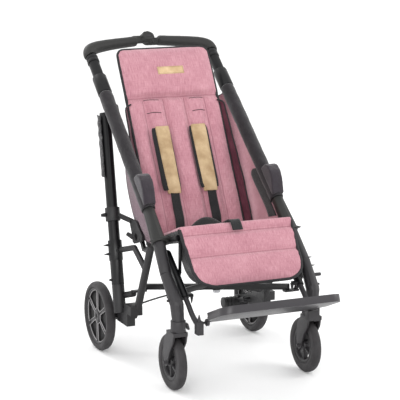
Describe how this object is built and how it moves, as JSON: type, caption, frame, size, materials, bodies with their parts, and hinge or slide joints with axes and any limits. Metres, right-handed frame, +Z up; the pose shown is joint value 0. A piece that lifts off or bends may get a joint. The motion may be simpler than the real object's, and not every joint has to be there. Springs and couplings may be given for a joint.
{
  "type": "tilt in space wheelchair",
  "caption": "Folding tilt-in-space push chair with a padded tilted seat, harness, calf rest, footplate, swivel front casters and fixed rear wheels.",
  "frame": {"origin": "on the floor at mid-width, under the seat", "axes": "+X to the right of someone looking at the front, -Y the way the chair faces, +Z up"},
  "size_m": [0.638, 1.1569, 1.0939],
  "materials": {
    "black_frame": "satin black powder coat",
    "charcoal_plastic": "matt moulded charcoal plastic",
    "olive_plastic": "matt moulded dark plastic",
    "pink_fabric": "melange woven pink upholstery",
    "plum_fabric": "dark woven sleeve fabric",
    "tan_leather": "matt tan leatherette",
    "black_webbing": "black woven webbing",
    "grey_tyre": "dark grey solid tyre",
    "steel": "plated steel"
  },
  "bodies": {
    "chassis_left": {"left_main_tube": "black_frame", "left_tube_sleeve": "plum_fabric", "left_arm_pad": "plum_fabric", "left_leg_joint": "olive_plastic", "left_front_leg": "charcoal_plastic", "left_rear_leg": "black_frame", "left_rear_housing": "charcoal_plastic", "left_side_panel": "pink_fabric", "left_leg_cover": "black_webbing", "brake_cable": "black_frame"},
    "chassis_right": {"right_main_tube": "black_frame", "right_tube_sleeve": "plum_fabric", "right_arm_pad": "plum_fabric", "right_leg_joint": "olive_plastic", "right_front_leg": "charcoal_plastic", "right_rear_leg": "black_frame", "right_rear_housing": "charcoal_plastic", "right_side_panel": "pink_fabric"},
    "brace_upper": {"brace_bar_upper": "black_frame", "brace_hub": "steel"},
    "brace_lower": {"brace_bar_lower": "black_frame"},
    "handle_left": {"left_handle_tube": "black_frame"},
    "grip_left": {"left_handle_grip": "black_frame", "handle_hub": "black_frame"},
    "handle_right": {"right_handle_tube": "black_frame"},
    "grip_right": {"right_handle_grip": "black_frame"},
    "release": {"handle_release": "black_frame"},
    "seat_side_left": {"left_seat_rail": "black_frame"},
    "tilt_collar_left": {"left_tilt_collar": "black_frame"},
    "collar_knob_left": {"left_collar_knob": "black_frame"},
    "seat_side_right": {"right_seat_rail": "black_frame"},
    "tilt_collar_right": {"right_tilt_collar": "black_frame"},
    "collar_knob_right": {"right_collar_knob": "black_frame"},
    "seat": {"seat_cushion": "pink_fabric", "back_pad": "pink_fabric", "left_shoulder_pad": "tan_leather", "right_shoulder_pad": "tan_leather", "left_shoulder_strap": "black_webbing", "right_shoulder_strap": "black_webbing", "crotch_strap": "black_webbing", "pelvic_pad": "black_webbing"},
    "hanger_left": {"left_hanger": "black_frame"},
    "footrest_left": {"left_hanger_tube": "charcoal_plastic"},
    "hanger_right": {"right_hanger": "black_frame"},
    "footrest_right": {"right_hanger_tube": "charcoal_plastic"},
    "calf": {"calf_pad": "pink_fabric"},
    "footplate": {"footplate": "charcoal_plastic"},
    "caster_fork_left": {"left_caster_fork": "charcoal_plastic"},
    "caster_wheel_left": {"left_caster_wheel": "grey_tyre"},
    "rear_wheel_left": {"left_rear_rim": "charcoal_plastic", "left_rear_tyre": "grey_tyre"},
    "caster_lock_left": {"left_caster_lock": "charcoal_plastic"},
    "brake_left": {"left_brake_pedal": "grey_tyre"},
    "caster_fork_right": {"right_caster_fork": "charcoal_plastic"},
    "caster_wheel_right": {"right_caster_wheel": "grey_tyre"},
    "rear_wheel_right": {"right_rear_rim": "charcoal_plastic", "right_rear_tyre": "grey_tyre"},
    "caster_lock_right": {"right_caster_lock": "charcoal_plastic"},
    "brake_right": {"right_brake_pedal": "grey_tyre"}
  },
  "joints": [
    {"name": "fold", "type": "hinge", "parent": "chassis_left", "child": "brace_upper", "pos_m": [-0.2021, -0.18961, 0.31167], "axis": [0, 0.0872, 0.9962], "range_deg": [0, 33.28], "deforming": ["seat_cushion", "calf_pad", "back_pad", "crotch_strap", "pelvic_pad", "brake_cable"]},
    {"name": "fold_cross", "type": "hinge", "parent": "brace_upper", "child": "brace_lower", "pos_m": [0, -0.051, 0.289], "axis": [0, 0.0872, 0.9962], "range_deg": [-66.58, 0]},
    {"name": "fold_right", "type": "hinge", "parent": "brace_lower", "child": "chassis_right", "pos_m": [0.2021, -0.19144, 0.29075], "axis": [0, 0.0872, 0.9962], "range_deg": [0, 33.3]},
    {"name": "handle_height_left", "type": "slide", "parent": "chassis_left", "child": "handle_left", "axis": [0.0082, 0.766, 0.6428], "range_m": [-0.055, 0.06]},
    {"name": "grip_fold_left", "type": "hinge", "parent": "handle_left", "child": "grip_left", "pos_m": [-0.23527, 0.50645, 1.01129], "axis": [0, -0.6428, 0.766], "range_deg": [0, 41.32]},
    {"name": "handle_height_right", "type": "slide", "parent": "chassis_right", "child": "handle_right", "axis": [-0.0082, 0.766, 0.6428], "range_m": [-0.055, 0.06]},
    {"name": "grip_fold_right", "type": "hinge", "parent": "handle_right", "child": "grip_right", "pos_m": [0.23527, 0.50645, 1.01129], "axis": [0, -0.6428, 0.766], "range_deg": [-41.32, 0]},
    {"name": "release_press", "type": "slide", "parent": "grip_left", "child": "release", "axis": [0, 0.6428, -0.766], "range_m": [0, 0.0022], "stiffness_N_per_m": 300},
    {"name": "tilt", "type": "hinge", "parent": "chassis_left", "child": "seat_side_left", "pos_m": [-0.232, -0.132, 0.48], "axis": [-1, 0, 0], "range_deg": [0, 15]},
    {"name": "tilt_slide_left", "type": "slide", "parent": "chassis_left", "child": "tilt_collar_left", "axis": [-0.0465, -0.3037, -0.9516], "range_m": [-0.00001, 0.06415]},
    {"name": "collar_knob_turn_left", "type": "hinge", "parent": "tilt_collar_left", "child": "collar_knob_left", "pos_m": [-0.26442, 0.24347, 0.497], "axis": [-1, 0, 0], "range_deg": [0, 90]},
    {"name": "tilt_right", "type": "hinge", "parent": "chassis_right", "child": "seat_side_right", "pos_m": [0.232, -0.132, 0.48], "axis": [-1, 0, 0], "range_deg": [0, 15]},
    {"name": "tilt_slide_right", "type": "slide", "parent": "chassis_right", "child": "tilt_collar_right", "axis": [0.0465, -0.3037, -0.9516], "range_m": [-0.00001, 0.06415]},
    {"name": "collar_knob_turn_right", "type": "hinge", "parent": "tilt_collar_right", "child": "collar_knob_right", "pos_m": [0.26442, 0.24347, 0.497], "axis": [1, 0, 0], "range_deg": [0, 90]},
    {"name": "seat_centre", "type": "slide", "parent": "seat_side_left", "child": "seat", "axis": [-1, 0, 0], "range_m": [0, 0.11001]},
    {"name": "leg_rest", "type": "hinge", "parent": "seat_side_left", "child": "hanger_left", "pos_m": [-0.211, -0.18637, 0.49467], "axis": [-1, 0, 0], "range_deg": [0, 45]},
    {"name": "footrest_height", "type": "slide", "parent": "hanger_left", "child": "footrest_left", "axis": [0, -0.7911, -0.6117], "range_m": [0, 0.06]},
    {"name": "leg_rest_right", "type": "hinge", "parent": "seat_side_right", "child": "hanger_right", "pos_m": [0.211, -0.18637, 0.49467], "axis": [-1, 0, 0], "range_deg": [0, 45]},
    {"name": "footrest_height_right", "type": "slide", "parent": "hanger_right", "child": "footrest_right", "axis": [0, -0.7911, -0.6117], "range_m": [0, 0.06]},
    {"name": "leg_rest_pad", "type": "hinge", "parent": "seat", "child": "calf", "pos_m": [0, -0.18637, 0.49467], "axis": [-1, 0, 0], "range_deg": [0, 45.01]},
    {"name": "footplate_flip", "type": "hinge", "parent": "footrest_left", "child": "footplate", "pos_m": [-0.211, -0.38, 0.256], "axis": [-1, 0, 0], "range_deg": [0, 85]},
    {"name": "caster_swivel_left", "type": "hinge", "parent": "chassis_left", "child": "caster_fork_left", "pos_m": [-0.247, -0.29, 0.21], "axis": [0, 0, 1], "continuous": true},
    {"name": "caster_spin_left", "type": "hinge", "parent": "caster_fork_left", "child": "caster_wheel_left", "pos_m": [-0.247, -0.245, 0.095], "axis": [1, 0, 0], "continuous": true},
    {"name": "rear_spin_left", "type": "hinge", "parent": "chassis_left", "child": "rear_wheel_left", "pos_m": [-0.3, 0.287, 0.123], "axis": [1, 0, 0], "continuous": true},
    {"name": "caster_lock_left_press", "type": "hinge", "parent": "chassis_left", "child": "caster_lock_left", "pos_m": [-0.2217, -0.29, 0.234], "axis": [0, -1, 0], "range_deg": [0, 25]},
    {"name": "brake_press", "type": "hinge", "parent": "chassis_left", "child": "brake_left", "pos_m": [-0.232, 0.196, 0.15], "axis": [-1, 0, 0], "range_deg": [0, 18]},
    {"name": "caster_swivel_right", "type": "hinge", "parent": "chassis_right", "child": "caster_fork_right", "pos_m": [0.247, -0.29, 0.21], "axis": [0, 0, 1], "continuous": true},
    {"name": "caster_spin_right", "type": "hinge", "parent": "caster_fork_right", "child": "caster_wheel_right", "pos_m": [0.247, -0.245, 0.095], "axis": [1, 0, 0], "continuous": true},
    {"name": "rear_spin_right", "type": "hinge", "parent": "chassis_right", "child": "rear_wheel_right", "pos_m": [0.3, 0.287, 0.123], "axis": [1, 0, 0], "continuous": true},
    {"name": "caster_lock_right_press", "type": "hinge", "parent": "chassis_right", "child": "caster_lock_right", "pos_m": [0.2217, -0.29, 0.234], "axis": [0, 1, 0], "range_deg": [0, 25]},
    {"name": "brake_press_right", "type": "hinge", "parent": "chassis_right", "child": "brake_right", "pos_m": [0.232, 0.196, 0.15], "axis": [-1, 0, 0], "range_deg": [0, 18]}
  ],
  "couplings": [
    {"joint": "fold_cross", "follows": "fold", "ratio": -2},
    {"joint": "fold_right", "follows": "fold", "ratio": 1},
    {"joint": "grip_fold_left", "follows": "fold", "ratio": 1.241},
    {"joint": "grip_fold_right", "follows": "fold", "ratio": -1.241},
    {"joint": "handle_height_right", "follows": "handle_height_left", "ratio": 1},
    {"joint": "tilt_slide_left", "follows": "tilt", "m_per_rad": 0.245},
    {"joint": "tilt_slide_right", "follows": "tilt", "m_per_rad": 0.245},
    {"joint": "tilt_right", "follows": "tilt", "ratio": 1},
    {"joint": "seat_centre", "follows": "fold", "m_per_rad": 0.18938},
    {"joint": "leg_rest_right", "follows": "leg_rest", "ratio": 1},
    {"joint": "footrest_height_right", "follows": "footrest_height", "ratio": 1},
    {"joint": "leg_rest_pad", "follows": "leg_rest", "ratio": 1},
    {"joint": "brake_press_right", "follows": "brake_press", "ratio": 1}
  ]
}
